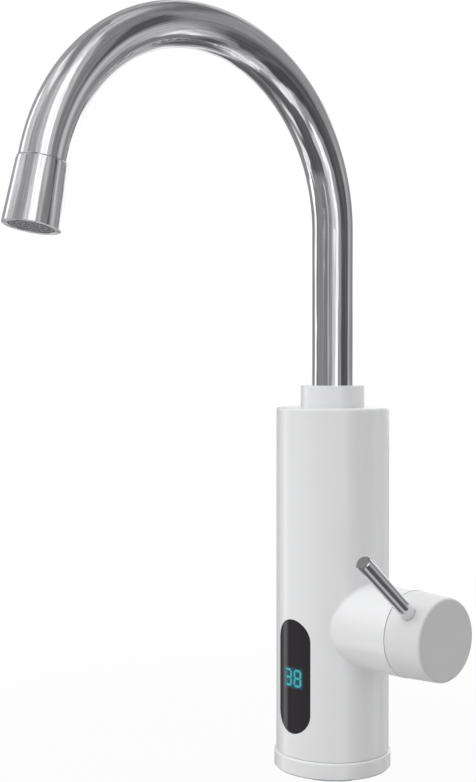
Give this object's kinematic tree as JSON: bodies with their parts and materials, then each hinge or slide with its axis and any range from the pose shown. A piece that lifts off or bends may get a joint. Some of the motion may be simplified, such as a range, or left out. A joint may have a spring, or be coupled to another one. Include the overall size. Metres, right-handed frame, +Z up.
{
  "type": "electric instant water heater tap",
  "caption": "Deck-mounted sink tap that heats water as it runs, with a swivelling gooseneck spout, a side knob with a rod lever and a temperature display.",
  "frame": {"origin": "centre of the base's underside, on the worktop", "axes": "+Z up along the body and the spout's swivel axis, -Y towards the display and the spout's outlet, +X along the knob's axis"},
  "size_m": [0.1086, 0.2343, 0.4475],
  "materials": {
    "white_shell": "satin white moulded ABS",
    "white_knob": "satin white moulded ABS",
    "polished_steel": "polished, bright",
    "brushed_steel": "drawn stainless sheet",
    "brass": "machined",
    "display_black": "smoked, high gloss",
    "digit_grey": "potted digit module",
    "circuit_board": "solder mask over glass epoxy",
    "black_plastic": "moulded component case",
    "grey_plastic": "moulded acetal",
    "grey_rubber": "moulded rubber",
    "black_rubber": "seal rubber",
    "ceramic": "lapped ceramic",
    "magnet_nickel": "nickel plated"
  },
  "bodies": {
    "tap_body": {"body_shell": "white_shell", "base_ring": "white_shell", "base_screws": "brushed_steel", "neck_collar": "white_shell", "boss_cover": "grey_plastic", "display_window": "display_black", "display_board": "circuit_board", "digit_module": "digit_grey", "display_screws": "brushed_steel", "control_board": "circuit_board", "board_screws": "brushed_steel", "power_relay": "black_plastic", "mains_terminal_block": "grey_plastic", "smoothing_capacitor": "black_plastic", "controller_chip": "black_plastic", "power_triac": "black_plastic", "reed_switch": "black_plastic", "position_sensor": "black_plastic", "cable_gland": "grey_rubber", "inlet_shank": "brushed_steel", "inlet_strainer": "brushed_steel", "deck_gasket": "black_rubber", "deck_washer": "black_rubber", "backing_washer": "brushed_steel", "mounting_nut": "grey_plastic", "flow_housing": "brass", "flow_spring": "brushed_steel", "valve_body": "brass", "disc_seal": "black_rubber", "fixed_disc": "ceramic", "cartridge_body": "brass", "bonnet_nut": "brass", "column_seals": "black_rubber", "tank_shell": "brushed_steel", "tank_seal": "black_rubber", "tank_lid": "brushed_steel", "tank_clamp_ring": "brushed_steel", "heating_coil": "brushed_steel", "heater_nuts": "brass", "heater_terminals": "brushed_steel", "thermal_cutout": "black_plastic", "temperature_sensor": "brass", "swivel_ring": "grey_plastic"},
    "spout": {"spout_tube": "polished_steel", "spout_connector": "brass", "spout_seals": "black_rubber", "aerator_housing": "polished_steel", "aerator_washer": "black_rubber", "aerator_screen": "brushed_steel", "aerator_insert": "grey_plastic"},
    "handle": {"knob_shell": "white_knob", "knob_insert": "brass", "lever_rod": "polished_steel", "sensor_magnet": "magnet_nickel", "spindle": "brass", "spindle_seal": "black_rubber", "spindle_clip": "brushed_steel", "moving_disc": "ceramic"},
    "flow_piston": {"flow_piston": "grey_plastic"}
  },
  "joints": [
    {"name": "spout_swivel", "type": "hinge", "parent": "tap_body", "child": "spout", "pos_m": [0, 0, 0.1976], "axis": [0, 0, 1], "continuous": true},
    {"name": "handle_turn", "type": "hinge", "parent": "tap_body", "child": "handle", "pos_m": [0.067, 0, 0.078], "axis": [1, 0, 0], "range_deg": [-139.3, 40.7]},
    {"name": "flow_piston_lift", "type": "slide", "parent": "tap_body", "child": "flow_piston", "axis": [0, 0, 1], "range_m": [0, 0.004], "stiffness_N_per_m": 60, "springref_m": -0.002, "deforming": ["flow_spring"]}
  ]
}
